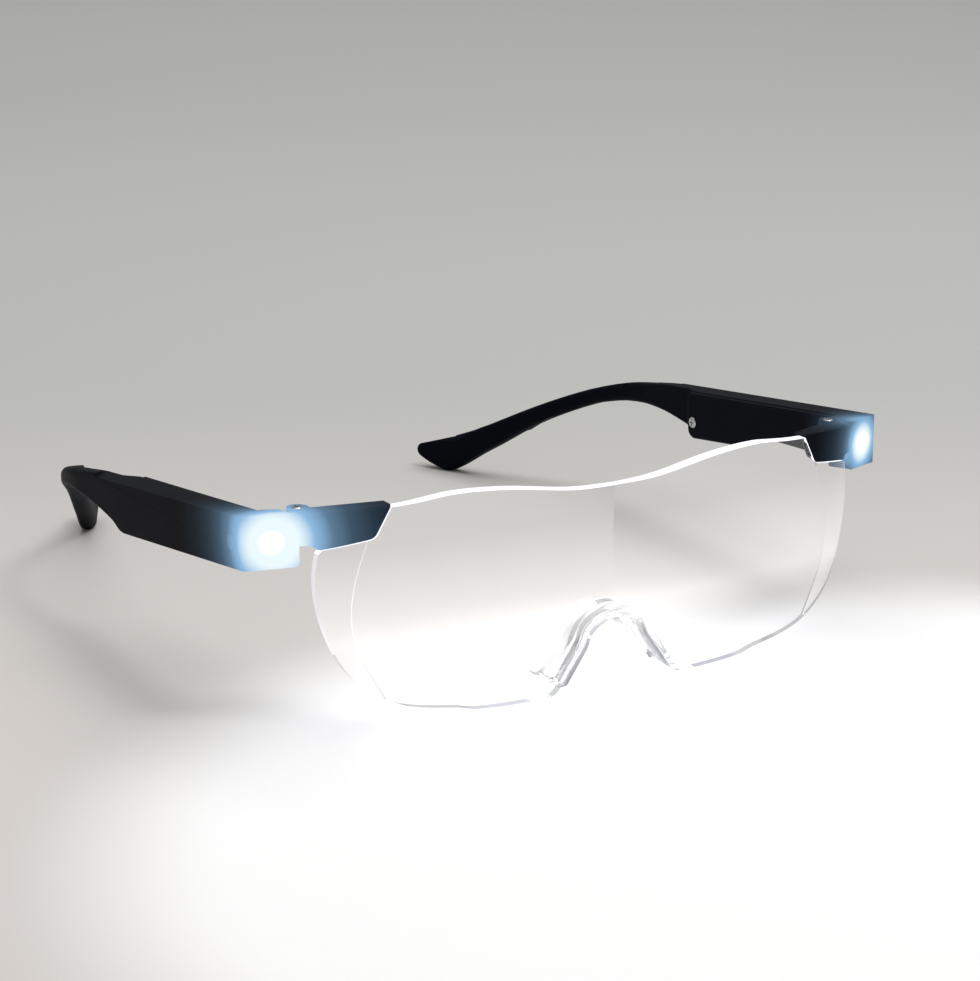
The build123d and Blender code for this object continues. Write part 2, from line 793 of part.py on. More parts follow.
with BuildPart() as temple_shell:
    add(temple_plan().sketch)
    extrude(amount=lens_height)
    extrude(temple_side().sketch, amount=overall_width, mode=Mode.INTERSECT)
    corner = Vector(outer_x, front_y + head_outer_front, lamp_height)
    fillet(temple_shell.edges().filter_by(Axis.Z).sort_by_distance(corner)[0], head_corner_radius)
    add(bay.part, mode=Mode.SUBTRACT)
    # Knuckle of the hinge
    with BuildSketch(plan_plane(knuckle_low)):
        with Locations((hinge_x, hinge_depth)):
            Circle(knuckle_radius)
            Rectangle(
                head_inner_x + lamp_bay_wall / 2 - hinge_x,
                2 * knuckle_radius,
                align=(Align.MIN, Align.CENTER),
            )
    extrude(amount=tongue_knuckle_height)
    with BuildSketch(plan_plane()):
        with Locations((hinge_x, hinge_depth)):
            Circle(hinge_screw_radius + hinge_screw_fit)
    extrude(amount=lens_height, mode=Mode.SUBTRACT)
    # Bore for the lamp's dome
    with BuildSketch(front_plane(lamp_bay_front)):
        with Locations((head_x, lamp_height)):
            Circle(dome_radius + dome_fit)
    extrude(amount=lamp_bay_front, mode=Mode.SUBTRACT)
    # Posts for the circuit board
    with BuildSketch(bay_plane(board_outer_x, board_front)):
        with Locations(*post_places):
            Circle(board_post_radius)
    extrude(amount=outer_wall_x + wall / 2 - board_outer_x)
    # Hole for the power button
    with BuildSketch(bay_plane(outer_wall_x - button_gap, button_depth)):
        Circle(button_radius + button_fit)
    extrude(amount=wall + cut_overrun, mode=Mode.SUBTRACT)
    # Slot for the charge socket, in the underside
    with BuildSketch(bay_plane(board_outer_x - socket_fit, socket_place)):
        with Locations((0, -half_height(socket_place))):
            Rectangle(socket_length + 2 * socket_fit, 2 * (wall + socket_fit))
    extrude(amount=outer_wall_x - board_outer_x + socket_fit, mode=Mode.SUBTRACT)
    # Hole for the cover's screw
    with BuildSketch(cover_screw_plane.offset(-cover_thickness)):
        Circle(cover_screw_radius)
    extrude(amount=cover_thickness - cover_head_sink - cover_screw_length, mode=Mode.SUBTRACT)
write_pair(temple_shell, "temple_shell")

# Cover plate on the inner side of the temple, with a catch at its front and a screw at its rear
with BuildPart() as inner_cover:
    with BuildSketch(side_plane(inner_x)):
        with Locations((0, -cover_inset)):
            add(temple_side().sketch_local)
        with Locations((0, cover_inset)):
            add(temple_side().sketch_local, mode=Mode.INTERSECT)
        with Locations((cover_front, 0)):
            Rectangle(cover_length, lens_height, align=(Align.MIN, Align.MIN), mode=Mode.INTERSECT)
    extrude(amount=cover_thickness)
    rear_corner = Vector(inner_x, front_y + cover_rear, bottom_height(cover_rear))
    fillet(inner_cover.edges().filter_by(Axis.X).sort_by_distance(rear_corner)[0], cover_corner_radius)
    chamfer(inner_cover.faces().sort_by(Axis.X)[0].edges(), cover_chamfer)
    with BuildSketch(bay_plane(cover_seam_x, cover_front)):
        with Locations((-catch_reach, 0)):
            Rectangle(catch_reach + catch_root, catch_height, align=(Align.MIN, Align.CENTER))
    extrude(amount=catch_thickness)
    with BuildSketch(cover_screw_plane):
        Circle(cover_screw_radius)
    extrude(amount=-cover_thickness, mode=Mode.SUBTRACT)
    with BuildSketch(cover_screw_plane.offset(-cover_head_sink)):
        Circle(cover_screw_head_radius + head_fit)
    extrude(amount=cover_thickness, mode=Mode.SUBTRACT)
write_pair(inner_cover, "inner_cover")

with BuildPart() as cover_screw:
    with BuildSketch(cover_screw_plane.offset(-cover_head_sink)):
        Circle(cover_screw_radius)
    extrude(amount=-cover_screw_length)
    head_plane = cover_screw_plane.offset(-cover_head_sink)
    add(slotted_head(head_plane, cover_screw_head_radius, cover_screw_head_height).part)
write_pair(cover_screw, "cover_screw")

# Lamp: a clear dome in the head's front, over a chip on its own small board
lamp_axis = Axis((head_x, front_y, lamp_height), (0, 1, 0))

with BuildPart() as led_dome:
    with BuildSketch(Plane(origin=(head_x, front_y, lamp_height), x_dir=(1, 0, 0), z_dir=(0, 0, 1))):
        with BuildLine():
            dome_tip = lamp_front - dome_stand_out
            hollow_front = led_board_front - dome_hollow_depth
            dome_curve = RadiusArc((0, dome_tip), (dome_radius, dome_tip + dome_radius), dome_radius)
            Polyline(
                dome_curve @ 1,
                (dome_radius, lamp_bay_front),
                (dome_radius + dome_flange_width, lamp_bay_front),
                (dome_radius + dome_flange_width, led_board_front),
                (dome_hollow_radius, led_board_front),
                (dome_hollow_radius, hollow_front),
                (0, hollow_front),
                dome_curve @ 0,
            )
        make_face()
    revolve(axis=lamp_axis)
write_pair(led_dome, "led_dome")

with BuildPart() as led_chip:
    with BuildSketch(front_plane(led_board_front)):
        with Locations((head_x, lamp_height)):
            Rectangle(led_chip_size, led_chip_size)
    extrude(amount=led_chip_thickness)
write_pair(led_chip, "led_chip")

with BuildPart() as led_board:
    with BuildSketch(front_plane(led_board_front)):
        with Locations(((lamp_bay_x + outer_wall_x) / 2, middle_height(led_board_front))):
            Rectangle(
                outer_wall_x - lamp_bay_x - 2 * led_board_fit,
                2 * (half_height(led_board_front) - wall - led_board_fit),
            )
    extrude(amount=-led_board_thickness)
write_pair(led_board, "led_board")

# Power button in the outer wall, over a switch on the circuit board
with BuildPart() as power_button:
    with BuildSketch(bay_plane(button_inner_x, button_depth)):
        Circle(button_radius + button_flange_width)
    extrude(amount=button_flange_thickness)
    with BuildSketch(bay_plane(button_inner_x, button_depth)):
        Circle(button_radius)
    extrude(amount=outer_x + button_stand_out - button_inner_x)
    fillet(power_button.faces().sort_by(Axis.X)[-1].edges(), button_edge_radius)
write_pair(power_button, "power_button")

with BuildPart() as switch_plunger:
    with BuildSketch(bay_plane(button_inner_x, button_depth)):
        Circle(plunger_radius)
    extrude(amount=-plunger_length)
write_pair(switch_plunger, "switch_plunger")

with BuildPart() as switch_body:
    with BuildSketch(bay_plane(board_outer_x, button_depth)):
        Rectangle(switch_size, switch_size)
    extrude(amount=switch_thickness)
    with BuildSketch(bay_plane(board_outer_x + plunger_bore_floor, button_depth)):
        Circle(plunger_radius + plunger_fit)
    extrude(amount=switch_thickness, mode=Mode.SUBTRACT)
write_pair(switch_body, "switch_body")

with BuildPart() as circuit_board:
    with BuildSketch(bay_plane(board_inner_x, board_front)):
        Rectangle(board_length, board_height, align=(Align.MIN, Align.CENTER))
    extrude(amount=board_thickness)
write_pair(circuit_board, "circuit_board")

with BuildPart() as controller_chip:
    with BuildSketch(bay_plane(board_inner_x, board_front + chip_setback)):
        Rectangle(chip_length, chip_height)
    extrude(amount=-chip_thickness)
write_pair(controller_chip, "controller_chip")

# Charge socket: a thin metal box that opens in the temple's underside, with a contact tongue inside
with BuildPart() as charge_socket:
    socket_bottom = socket_recess - half_height(socket_place)
    with BuildSketch(bay_plane(board_outer_x, socket_place)):
        with Locations((0, socket_bottom)):
            Rectangle(socket_length, socket_depth, align=(Align.CENTER, Align.MIN))
    extrude(amount=socket_thickness)
    with BuildSketch(bay_plane(board_outer_x + socket_wall, socket_place)):
        with Locations((0, socket_bottom)):
            Rectangle(
                socket_length - 2 * socket_wall,
                socket_depth - socket_wall,
                align=(Align.CENTER, Align.MIN),
            )
    extrude(amount=socket_thickness - 2 * socket_wall, mode=Mode.SUBTRACT)
    with BuildSketch(bay_plane(board_outer_x + (socket_thickness - socket_tongue_thickness) / 2, socket_place)):
        with Locations((0, socket_bottom + 2 * socket_wall)):
            Rectangle(
                socket_length - 2 * socket_tongue_inset,
                socket_depth - 2 * socket_wall,
                align=(Align.CENTER, Align.MIN),
            )
    extrude(amount=socket_tongue_thickness)
write_pair(charge_socket, "charge_socket")

# Flat cell behind the board, and the leads between the pieces
battery_front = board_rear + battery_gap

with BuildPart() as battery:
    with BuildSketch(bay_plane(outer_wall_x, battery_front)):
        Rectangle(battery_length, battery_height, align=(Align.MIN, Align.CENTER))
    extrude(amount=-battery_thickness)
    fillet(battery.edges().filter_by(lambda edge: abs((edge % 0).Y) > along_share), battery_edge_radius)
write_pair(battery, "battery")

lead_x = board_inner_x + board_thickness / 2


def leads(start, length):
    """Two straight leads that run back from a depth, on the board's middle plane."""
    plane = bay_plane(lead_x, start)
    with BuildPart() as pair:
        with BuildSketch(Plane(origin=plane.origin, x_dir=plane.z_dir, z_dir=plane.x_dir)):
            with GridLocations(0, lead_spacing, 1, 2):
                Circle(lead_radius)
        extrude(amount=length)
    return pair


battery_leads = leads(board_rear, battery_gap / cos(radians(temple_slope)))
write_pair(battery_leads, "battery_leads")

led_board_middle = led_board_front + led_board_thickness / 2
led_leads = leads(led_board_middle, board_front - led_board_middle)
with BuildPart() as lamp_leads:
    add(led_leads.part)
    add(led_board.part, mode=Mode.SUBTRACT)
    add(circuit_board.part, mode=Mode.SUBTRACT)
write_pair(lamp_leads, "led_leads")
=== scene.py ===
"""Lighted magnifier glasses: finishes, soft saddle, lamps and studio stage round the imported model."""

import json
import math

import bmesh
import bpy
from bpy.props import FloatProperty, FloatVectorProperty, PointerProperty
from bpy.types import Operator, Panel, PropertyGroup
from mathutils import Matrix, Vector
from mathutils.kdtree import KDTree

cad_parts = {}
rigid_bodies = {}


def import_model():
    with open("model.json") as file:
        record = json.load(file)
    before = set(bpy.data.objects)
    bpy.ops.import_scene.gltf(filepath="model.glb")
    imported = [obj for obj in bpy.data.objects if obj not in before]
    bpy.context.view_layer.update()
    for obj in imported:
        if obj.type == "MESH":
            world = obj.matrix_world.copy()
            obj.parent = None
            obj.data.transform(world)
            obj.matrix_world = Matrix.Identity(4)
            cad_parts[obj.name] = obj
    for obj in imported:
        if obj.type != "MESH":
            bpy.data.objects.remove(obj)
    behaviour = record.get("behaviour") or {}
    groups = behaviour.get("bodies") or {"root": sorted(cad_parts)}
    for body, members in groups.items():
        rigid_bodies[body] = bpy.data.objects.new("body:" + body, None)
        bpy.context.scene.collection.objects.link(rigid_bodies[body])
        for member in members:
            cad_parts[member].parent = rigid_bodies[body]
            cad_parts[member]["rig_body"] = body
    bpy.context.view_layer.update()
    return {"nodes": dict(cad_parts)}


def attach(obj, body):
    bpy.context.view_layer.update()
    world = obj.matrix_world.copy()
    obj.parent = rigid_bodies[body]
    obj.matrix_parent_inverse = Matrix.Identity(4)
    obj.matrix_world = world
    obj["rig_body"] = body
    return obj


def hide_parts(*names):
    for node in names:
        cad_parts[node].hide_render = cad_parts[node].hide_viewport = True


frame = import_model()

bl_info = {
    "name": "Lighted magnifier glasses",
    "version": (1, 0, 0),
    "blender": (4, 5, 0),
    "location": "View3D > Sidebar > Glasses",
    "description": "Finishes, soft saddle, lamps and studio stage for lighted magnifier glasses",
    "category": "Object",
}

SIDES = ("left", "right")
MM = 0.001

# Copies of CAD nodes: distance within which points are joined, distance within which two corners
# count as one place, angle from which an edge is shaded sharp, angle from which it is rounded, and
# how many steps round it on small pieces and on the temples.
JOIN_DISTANCE = 0.001 * MM
SAME_PLACE = 0.01 * MM
SHADE_SHARP = math.radians(18)
ROUND_SHARP = math.radians(35)
TRIM_STEPS = 3
TEMPLE_STEPS = 5

# Temples: edges that meet a shorter edge than SHORT_EDGE stay sharp. The lamp head's edges longer
# than LONG_EDGE, in front of HEAD_REAR and below HEAD_LOW, are rounded by HEAD_SHARE of the ear
# hook's radius.
SHORT_EDGE = 0.4 * MM
LONG_EDGE = 2 * MM
HEAD_REAR = -66 * MM
HEAD_LOW = 36 * MM
HEAD_SHARE = 0.7

# Clear pieces: how far a face of the lens's top or foot may point forwards or backwards, the same
# for a face of its sides, how far its top points upwards, and how high its foot reaches. Then the
# bending of light in acrylic and silicone, and the share of light that passes into their shadow.
EDGE_LEAN = 0.5
SIDE_LEAN = 0.72
UPWARD = 0.4
FOOT_TOP = 30 * MM
ACRYLIC_IOR = 1.49
SILICONE_IOR = 1.3
SHADOW_PASS = 0.9

# Painted light in the clear pieces, which glow though they are no lamps: pairs of a share of GLOW_HEIGHT
# and the colour of the painted glow there.
GLOW_HEIGHT = 40 * MM
VEIL_PAINTED_GLOW = (
    (0.1, (0, 0, 0)),
    (0.3, (0.04, 0.038, 0.036)),
    (0.45, (0.13, 0.124, 0.118)),
    (0.95, (0, 0, 0)),
)
RIM_PAINTED_GLOW = ((0.87, (0.16, 0.16, 0.2)), (0.98, (0.9, 0.93, 1)))
SIDE_PAINTED_GLOW = ((0.1, (0.05, 0.05, 0.06)), (0.5, (0.25, 0.22, 0.4)), (0.95, (0.7, 0.68, 1)))
SADDLE_PAINTED_GLOW = ((0, (0.04, 0.04, 0.04)), (1, (0.04, 0.04, 0.04)))

# Painted lamp light on the black plastic, given as emission: pairs of nearness and strength, how steeply
# nearness falls off, and the nearness and colour painted right at the lamp.
SPILL_STEPS = ((0.02, 0.008), (0.1, 0.02), (0.3, 0.055), (0.55, 0.13), (0.75, 0.3), (0.9, 0.75))
SPILL_FALL = 1.6
SPILL_CORE = (0.975, (0.85, 0.97, 1, 1))

# Moulded plastic: relief of its grain, change of its tone, depth of its handling marks and its shine.
GRAIN_RELIEF = 0.25
TONE_SPREAD = 0.12
MARKS_DEPTH = 0.12
PLASTIC_SHINE = 0.03
PLASTIC_SHINE_TINT = (0.85, 0.93, 1, 1)

# Boards: spacing of the copper traces.
TRACE_SPACING = 2.4 * MM

# Stage: where the floor's colour, graded to paint how brightly it is lit, starts and stops changing, the
# shares of that way that have its middle colour, the painted light pool's soft edge as shares of its reach,
# and the lamps' names, sizes and places.
FLOOR_FADE = (-0.1, 1.4)
FLOOR_MIDDLE = (0.2, 0.52)
POOL_EDGE = (1.25, 0.9)
OVERHEAD = ("overhead", (1.8, 1.5), (0.25, 0.15, 1.3))
KEY = ("key", (0.3, 0.3), (0.32, -0.58, 1.06))
CAMERA_SENSOR = 36
CAMERA_CLIP = (0.01, 50)


class GlassesFinish(PropertyGroup):
    """Sizes and colours of the glasses' finishes, and of the lamp light painted on their plastic."""

    plastic_color: FloatVectorProperty(
        name="Plastic colour",
        description="Colour of the moulded temples and end pieces",
        subtype="COLOR",
        size=3,
        min=0,
        max=1,
        default=(0.003, 0.004, 0.0075),
    )
    plastic_roughness: FloatProperty(
        name="Plastic roughness",
        description="How satin the moulded plastic looks",
        default=0.48,
        min=0,
        max=1,
        subtype="FACTOR",
    )
    plastic_edge: FloatProperty(
        name="Temple edge radius",
        description="Radius of the temples' moulded edges",
        default=0.45 * MM,
        min=0,
        unit="LENGTH",
    )
    hook_edge: FloatProperty(
        name="Ear hook edge radius",
        description="Radius of the ear hooks' rounded edges",
        default=1.5 * MM,
        min=0,
        unit="LENGTH",
    )
    hook_front: FloatProperty(
        name="Hook rounding start",
        description="Place along the temples where their edges start to grow rounder",
        default=4.0 * MM,
        unit="LENGTH",
    )
    hook_rear: FloatProperty(
        name="Hook rounding end",
        description="Place along the temples behind which the ear hooks are fully rounded",
        default=22.0 * MM,
        unit="LENGTH",
    )
    trim_edge: FloatProperty(
        name="Trim edge radius",
        description="Radius of the edges of end pieces and covers",
        default=0.15 * MM,
        min=0,
        unit="LENGTH",
    )
    grain_size: FloatProperty(
        name="Grain size",
        description="Spacing of the fine moulded grain",
        default=0.35 * MM,
        min=0.01 * MM,
        unit="LENGTH",
    )
    lens_tint: FloatVectorProperty(
        name="Lens tint",
        description="Colour that the clear lens gives to light passing through",
        subtype="COLOR",
        size=3,
        min=0,
        max=1,
        default=(0.985, 0.99, 1.0),
    )
    lens_edge_tint: FloatVectorProperty(
        name="Lens edge tint",
        description="Faint violet tint of the lens's polished edge",
        subtype="COLOR",
        size=3,
        min=0,
        max=1,
        default=(0.82, 0.82, 1.0),
    )
    ridge_inner: FloatProperty(
        name="Ridge inner distance",
        description="How far from the middle the magnifying zones' outer ridges start",
        default=45.0 * MM,
        min=0,
        unit="LENGTH",
    )
    silicone_tint: FloatVectorProperty(
        name="Silicone tint",
        description="Colour of the clear soft saddle",
        subtype="COLOR",
        size=3,
        min=0,
        max=1,
        default=(0.97, 0.98, 0.99),
    )
    silicone_voxel: FloatProperty(
        name="Silicone smoothing size",
        description="Size of the steps that round the saddle's edges",
        default=0.3 * MM,
        min=0.1 * MM,
        unit="LENGTH",
    )
    lamp_color: FloatVectorProperty(
        name="Lamp colour",
        description="Colour of the lamps' cold white light",
        subtype="COLOR",
        size=3,
        min=0,
        max=1,
        default=(0.78, 0.9, 1.0),
    )
    lamp_strength: FloatProperty(
        name="Lamp strength",
        description="How brightly the lamp domes glow",
        default=14.0,
        min=0,
    )
    # Painted light: the lamp place, the spill reaches and the spill colour set the lamp light painted as
    # emission on the black plastic.
    lamp_place: FloatVectorProperty(
        name="Lamp place",
        description="Middle of the wearer's left lamp",
        subtype="TRANSLATION",
        unit="LENGTH",
        size=3,
        default=(0.0747, -0.0745, 0.0405),
    )
    left_spill_reach: FloatProperty(
        name="Left spill reach",
        description="How far the left lamp's light spills over the plastic",
        default=24 * MM,
        min=0,
        unit="LENGTH",
    )
    right_spill_reach: FloatProperty(
        name="Right spill reach",
        description="How far the right lamp's light spills over the plastic",
        default=40 * MM,
        min=0,
        unit="LENGTH",
    )
    # Painted light: the spill colour is emission painted on the plastic beside a lit lamp, not the
    # plastic's own colour.
    painted_spill_color: FloatVectorProperty(
        name="Spill colour",
        description="Colour of the plastic right beside a lit lamp",
        subtype="COLOR",
        size=3,
        min=0,
        max=1,
        default=(0.36, 0.66, 1.0),
    )
    steel_color: FloatVectorProperty(
        name="Steel colour",
        description="Colour of screws and sockets",
        subtype="COLOR",
        size=3,
        min=0,
        max=1,
        default=(0.62, 0.62, 0.64),
    )


class GlassesStage(PropertyGroup):
    """Floor, light and camera."""

    camera_place: FloatVectorProperty(
        name="Camera place",
        description="Where the camera stands",
        subtype="TRANSLATION",
        unit="LENGTH",
        size=3,
        default=(-0.3094, -0.5621, 0.2094),
    )
    camera_target: FloatVectorProperty(
        name="Camera target",
        description="Point in the middle of the picture",
        subtype="TRANSLATION",
        unit="LENGTH",
        size=3,
        default=(-0.00045, -0.0338, 0.0304),
    )
    camera_roll: FloatProperty(
        name="Camera roll",
        description="Turn of the camera about its own axis",
        default=math.radians(-0.2),
        unit="ROTATION",
    )
    focal_length: FloatProperty(
        name="Focal length",
        description="Focal length of the camera",
        default=102.86,
        min=1,
        subtype="DISTANCE_CAMERA",
    )
    # Painted light and shade: the near, middle and far floor colours grade the floor lighter or darker with
    # distance, standing for how the light falls on it.
    floor_near_color: FloatVectorProperty(
        name="Near floor colour",
        description="Colour of the floor beside the glasses",
        subtype="COLOR",
        size=3,
        min=0,
        max=1,
        default=(0.66, 0.625, 0.6),
    )
    floor_middle_color: FloatVectorProperty(
        name="Middle floor colour",
        description="Colour of the floor just behind the glasses",
        subtype="COLOR",
        size=3,
        min=0,
        max=1,
        default=(0.485, 0.485, 0.472),
    )
    floor_far_color: FloatVectorProperty(
        name="Far floor colour",
        description="Colour of the floor far behind the glasses",
        subtype="COLOR",
        size=3,
        min=0,
        max=1,
        default=(0.6, 0.605, 0.585),
    )
    # Painted light: the light pool is the lamps' light painted into the floor's colour.
    painted_pool_color: FloatVectorProperty(
        name="Light pool colour",
        description="Colour of the floor where the lamps light it, in front of the glasses",
        subtype="COLOR",
        size=3,
        min=0,
        max=1,
        default=(0.97, 0.965, 0.96),
    )
    pool_place: FloatVectorProperty(
        name="Light pool place",
        description="Middle of the pool of light",
        subtype="TRANSLATION",
        unit="LENGTH",
        size=3,
        default=(0, -0.17, 0),
    )
    pool_reach: FloatVectorProperty(
        name="Light pool reach",
        description="Half of the pool's width and depth",
        subtype="TRANSLATION",
        unit="LENGTH",
        size=3,
        default=(0.133, 0.122, 1),
    )
    floor_reach: FloatProperty(
        name="Floor reach",
        description="How far the floor runs each way",
        default=6.0,
        min=1,
        unit="LENGTH",
    )
    ambient: FloatProperty(
        name="Ambient light",
        description="Strength of the even light all round",
        default=0.3,
        min=0,
    )
    overhead_power: FloatProperty(
        name="Overhead power",
        description="Power of the large overhead lamp",
        default=16.5,
        min=0,
        unit="POWER",
    )
    key_power: FloatProperty(
        name="Key power",
        description="Power of the smaller lamp above the camera's right",
        default=2.6,
        min=0,
        unit="POWER",
    )


def show(obj, body):
    """Link a finished piece and let it ride on its body."""
    bpy.context.scene.collection.objects.link(obj)
    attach(obj, body)


def paint(obj, *materials):
    """Give a piece its materials."""
    obj.data.materials.clear()
    for material in materials:
        obj.data.materials.append(material)


def merged_copy(node, name, flat=0.3):
    """Copy of a CAD node's mesh, its triangles joined where they meet at fewer degrees than flat."""
    mesh = bpy.data.meshes.new(name)
    bm = bmesh.new()
    bm.from_mesh(frame["nodes"][node].data)
    bmesh.ops.remove_doubles(bm, verts=bm.verts, dist=JOIN_DISTANCE)
    bmesh.ops.dissolve_limit(bm, angle_limit=math.radians(flat), verts=bm.verts, edges=bm.edges)
    bm.to_mesh(mesh)
    bm.free()
    mesh.materials.clear()
    mesh.shade_smooth()
    mesh.set_sharp_from_angle(angle=SHADE_SHARP)
    return bpy.data.objects.new(name, mesh)


def rounded(obj, radius):
    """Round a piece's sharp edges."""
    bevel = obj.modifiers.new("Edges", "BEVEL")
    bevel.width = radius
    bevel.segments = TRIM_STEPS
    bevel.limit_method = "ANGLE"
    bevel.angle_limit = ROUND_SHARP
    bevel.material = -1
    bevel.harden_normals = True
    bevel.miter_outer = "MITER_ARC"
    return bevel


def exact_normals(obj, node):
    """Shade a copy of a CAD node by the CAD's own corner normals."""
    source = frame["nodes"][node].data
    corners = KDTree(len(source.loops))
    flat = {}
    for face in source.polygons:
        for index in face.loop_indices:
            corners.insert(source.vertices[source.loops[index].vertex_index].co, index)
            flat[index] = face.normal.copy()
    corners.balance()
    normals = [Vector()] * len(obj.data.loops)
    for face in obj.data.polygons:
        for index in face.loop_indices:
            place = obj.data.vertices[obj.data.loops[index].vertex_index].co
            near = corners.find_range(place, SAME_PLACE)
            best = max(near, key=lambda item: flat[item[1]].dot(face.normal))
            normals[index] = source.corner_normals[best[1]].vector.copy()
    obj.data.normals_split_custom_set(normals)


def soften_rear(obj, front, rear, share):
    """Weigh a piece's edges for rounding: by a share in front of one place and fully behind another."""
    weights = obj.data.attributes.new("bevel_weight_edge", "FLOAT", "EDGE")
    for edge in obj.data.edges:
        depth = sum(obj.data.vertices[index].co.y for index in edge.vertices) / 2
        blend = min(1, max(0, (depth - front) / (rear - front)))
        weights.data[edge.index].value = share + (1 - share) * blend


def soften_head(obj):
    """Weigh the long lower edges of a lamp head for more rounding."""
    weights = obj.data.attributes["bevel_weight_edge"]
    points = obj.data.vertices
    for edge in obj.data.edges:
        one, other = [points[index].co for index in edge.vertices]
        at_head = max(one.y, other.y) < HEAD_REAR and max(one.z, other.z) < HEAD_LOW
        if at_head and (one - other).length > LONG_EDGE:
            weights.data[edge.index].value = HEAD_SHARE


def keep_sharp(obj):
    """Take the weight off edges that are nearly flat or that meet a very short one."""
    bm = bmesh.new()
    bm.from_mesh(obj.data)
    layer = bm.edges.layers.float["bevel_weight_edge"]
    for edge in bm.edges:
        meeting = [other.calc_length() for end in edge.verts for other in end.link_edges]
        if edge.calc_face_angle(0) < ROUND_SHARP or min(meeting) < SHORT_EDGE:
            edge[layer] = 0
    bm.to_mesh(obj.data)
    bm.free()


def round_temple(obj, bevel, finish):
    """Round a temple by its edges' weights: most at the ear hook and least along the case."""
    soften_rear(obj, finish.hook_front, finish.hook_rear, finish.plastic_edge / finish.hook_edge)
    soften_head(obj)
    keep_sharp(obj)
    bevel.limit_method = "WEIGHT"
    bevel.use_clamp_overlap = False
    bevel.harden_normals = False
    bevel.width = finish.hook_edge
    bevel.segments = TEMPLE_STEPS
    even = obj.modifiers.new("Even shading", "WEIGHTED_NORMAL")
    even.weight = 100
    even.keep_sharp = True


def moulded(node, radius, material, temple=None):
    """A black CAD node's shape with rounded edges, in place of the node."""
    obj = merged_copy(node, f"{node}_moulding")
    bevel = rounded(obj, radius)
    if temple:
        round_temple(obj, bevel, temple)
    paint(obj, material)
    show(obj, frame["nodes"][node]["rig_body"])
    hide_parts(node)


def node_group(name, inputs, outputs):
    """An empty shader node group with named sockets."""
    group = bpy.data.node_groups.new(name, "ShaderNodeTree")
    for label, kind, default in inputs:
        socket = group.interface.new_socket(label, in_out="INPUT", socket_type=kind)
        socket.default_value = default
    for label, kind in outputs:
        group.interface.new_socket(label, in_out="OUTPUT", socket_type=kind)
    return group, group.nodes.new("NodeGroupInput"), group.nodes.new("NodeGroupOutput")


def moulded_grain():
    """Fine grain of moulded plastic: a height and a slow change of tone."""
    name = "Moulded grain"
    if name in bpy.data.node_groups:
        return bpy.data.node_groups[name]
    group, source, result = node_group(
        name,
        [("Size", "NodeSocketFloat", 0.35 * MM)],
        [("Height", "NodeSocketFloat"), ("Tone", "NodeSocketFloat")],
    )
    nodes, links = group.nodes, group.links
    place = nodes.new("ShaderNodeTexCoord")
    density = nodes.new("ShaderNodeMath")
    density.operation = "DIVIDE"
    density.inputs[0].default_value = 1
    links.new(source.outputs["Size"], density.inputs[1])
    fine = nodes.new("ShaderNodeTexVoronoi")
    fine.feature = "SMOOTH_F1"
    fine.inputs["Smoothness"].default_value = 0.8
    links.new(place.outputs["Object"], fine.inputs["Vector"])
    links.new(density.outputs[0], fine.inputs["Scale"])
    links.new(fine.outputs["Distance"], result.inputs["Height"])
    slow = nodes.new("ShaderNodeTexNoise")
    slow.inputs["Scale"].default_value = 120
    slow.inputs["Detail"].default_value = 4
    links.new(place.outputs["Object"], slow.inputs["Vector"])
    links.new(slow.outputs["Fac"], result.inputs["Tone"])
    return group


def handling_marks():
    """Faint smears from fingers: a roughness round a middle value."""
    name = "Handling marks"
    if name in bpy.data.node_groups:
        return bpy.data.node_groups[name]
    group, source, result = node_group(
        name,
        [("Roughness", "NodeSocketFloat", 0.3), ("Strength", "NodeSocketFloat", 0.05)],
        [("Roughness", "NodeSocketFloat")],
    )
    nodes, links = group.nodes, group.links
    place = nodes.new("ShaderNodeTexCoord")
    smear = nodes.new("ShaderNodeTexNoise")
    smear.inputs["Scale"].default_value = 55
    smear.inputs["Detail"].default_value = 5
    smear.inputs["Distortion"].default_value = 0.6
    links.new(place.outputs["Object"], smear.inputs["Vector"])
    centred = nodes.new("ShaderNodeMath")
    centred.operation = "SUBTRACT"
    centred.inputs[1].default_value = 0.5
    links.new(smear.outputs["Fac"], centred.inputs[0])
    total = nodes.new("ShaderNodeMath")
    total.operation = "MULTIPLY_ADD"
    total.use_clamp = True
    links.new(centred.outputs[0], total.inputs[0])
    links.new(source.outputs["Strength"], total.inputs[1])
    links.new(source.outputs["Roughness"], total.inputs[2])
    links.new(total.outputs[0], result.inputs["Roughness"])
    return group


def new_material(name):
    """A material with one Principled BSDF."""
    material = bpy.data.materials.new(name)
    material.use_nodes = True
    return material, material.node_tree, material.node_tree.nodes["Principled BSDF"]


def add_group(tree, group, values):
    """Place a node group in a material with its own values."""
    node = tree.nodes.new("ShaderNodeGroup")
    node.node_tree = group
    for label, value in values.items():
        node.inputs[label].default_value = value
    return node


def toned(tree, shader, color, factor, spread):
    """Base colour that changes a little over the surface."""
    mix = tree.nodes.new("ShaderNodeMix")
    mix.data_type = "RGBA"
    mix.inputs["A"].default_value = [channel * (1 - spread) for channel in color] + [1]
    mix.inputs["B"].default_value = [min(1, channel * (1 + spread)) for channel in color] + [1]
    tree.links.new(factor, mix.inputs["Factor"])
    tree.links.new(mix.outputs["Result"], shader.inputs["Base Color"])


def bumped(tree, shader, height, strength, distance):
    """Relief from a height."""
    bump = tree.nodes.new("ShaderNodeBump")
    bump.inputs["Strength"].default_value = strength
    bump.inputs["Distance"].default_value = distance
    tree.links.new(height, bump.inputs["Height"])
    tree.links.new(bump.outputs["Normal"], shader.inputs["Normal"])


